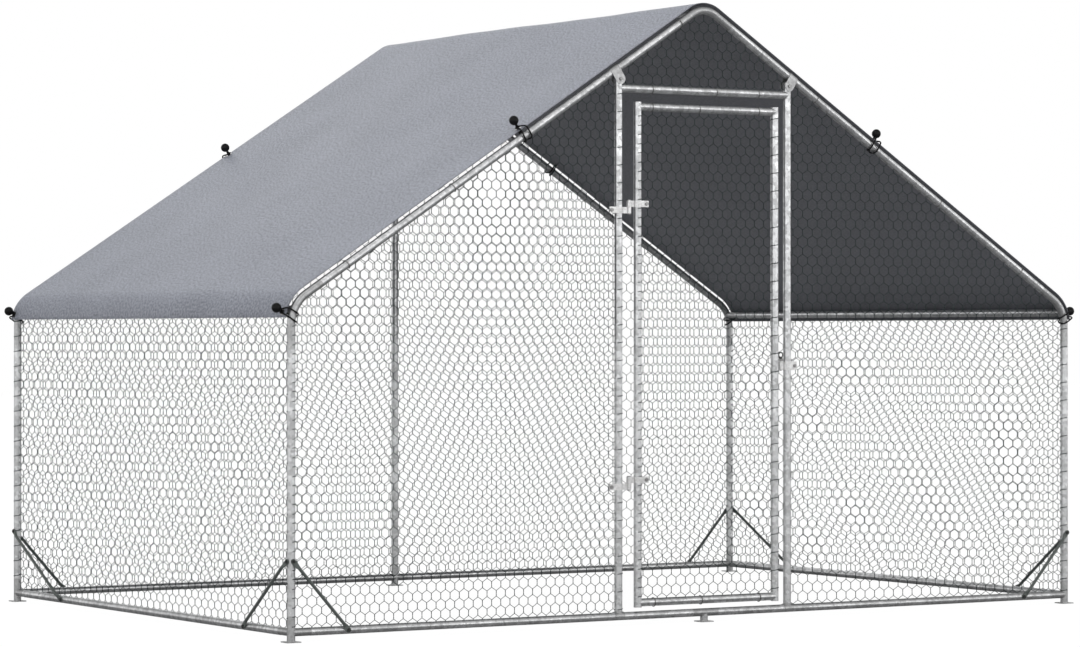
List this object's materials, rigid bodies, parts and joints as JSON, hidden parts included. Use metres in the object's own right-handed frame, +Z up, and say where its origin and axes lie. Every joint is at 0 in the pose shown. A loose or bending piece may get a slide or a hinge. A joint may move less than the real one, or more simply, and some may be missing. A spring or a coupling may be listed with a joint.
{
  "type": "walk-in poultry coop",
  "caption": "Walk-in gable poultry coop: galvanised tube frame, hexagonal wire netting on the walls, grey roof cover on ball bungees and a hinged wire door with a drop-pin latch.",
  "frame": {"origin": "on the ground, in the middle of the coop", "axes": "+X along the front to the right as one faces the door, +Y from the front to the back, +Z up"},
  "size_m": [3.0801, 2.018, 1.9646],
  "materials": {
    "galvanised_tube": "satin galvanised",
    "fitting_steel": "dull galvanised",
    "net_wire": "weathered galvanised wire",
    "brace_paint": "dark grey paint",
    "zinc_hardware": "zinc plated",
    "cover_fabric": "woven, silver grey outside and black inside",
    "eyelet_metal": "pressed",
    "elastic_cord": "black braided",
    "ball_plastic": "black moulded"
  },
  "bodies": {
    "coop_frame": {"corner_post_front_left": "galvanised_tube", "corner_post_front_right": "galvanised_tube", "corner_post_back_left": "galvanised_tube", "corner_post_back_right": "galvanised_tube", "base_rails_front": "galvanised_tube", "base_rails_back": "galvanised_tube", "base_rail_left": "galvanised_tube", "base_rail_right": "galvanised_tube", "rafters_front": "galvanised_tube", "rafters_back": "galvanised_tube", "eave_rail_left": "galvanised_tube", "eave_rail_right": "galvanised_tube", "ridge_rail": "galvanised_tube", "back_post": "galvanised_tube", "door_post_left": "galvanised_tube", "door_post_right": "galvanised_tube", "door_header": "galvanised_tube", "base_corner_front_left": "fitting_steel", "base_corner_front_right": "fitting_steel", "base_corner_back_left": "fitting_steel", "base_corner_back_right": "fitting_steel", "base_tee_front": "fitting_steel", "base_tee_back": "fitting_steel", "eave_elbow_front_left": "fitting_steel", "eave_elbow_front_right": "fitting_steel", "eave_elbow_back_left": "fitting_steel", "eave_elbow_back_right": "fitting_steel", "ridge_elbow_front": "fitting_steel", "ridge_elbow_back": "fitting_steel", "door_post_top_saddles": "fitting_steel", "door_post_base_saddles": "fitting_steel", "net_left": "net_wire", "net_right": "net_wire", "net_front_left": "net_wire", "net_front_right": "net_wire", "net_back_left": "net_wire", "net_back_right": "net_wire", "net_gable": "net_wire", "end_braces": "brace_paint", "side_braces": "brace_paint", "brace_screws": "zinc_hardware", "frame_bolts": "zinc_hardware", "hinge_post_straps": "zinc_hardware", "hinge_pins": "zinc_hardware", "latch_post_strap": "zinc_hardware", "roof_cover": "cover_fabric", "cover_eyelets": "eyelet_metal", "bungee_cords": "elastic_cord", "bungee_balls": "ball_plastic"},
    "door": {"door_stile_hinge": "galvanised_tube", "door_stile_latch": "galvanised_tube", "door_rails": "galvanised_tube", "net_door": "net_wire", "hinge_door_straps": "zinc_hardware", "door_bolts": "zinc_hardware", "latch_eye": "zinc_hardware"},
    "latch_pin": {"latch_pin": "zinc_hardware"}
  },
  "joints": [
    {"name": "door_hinge", "type": "hinge", "parent": "coop_frame", "child": "door", "pos_m": [-0.286, -0.985, 0], "axis": [0, 0, -1], "range_deg": [0, 120]},
    {"name": "latch_slide", "type": "slide", "parent": "door", "child": "latch_pin", "axis": [0, 0, 1], "range_m": [0, 0.032]}
  ]
}
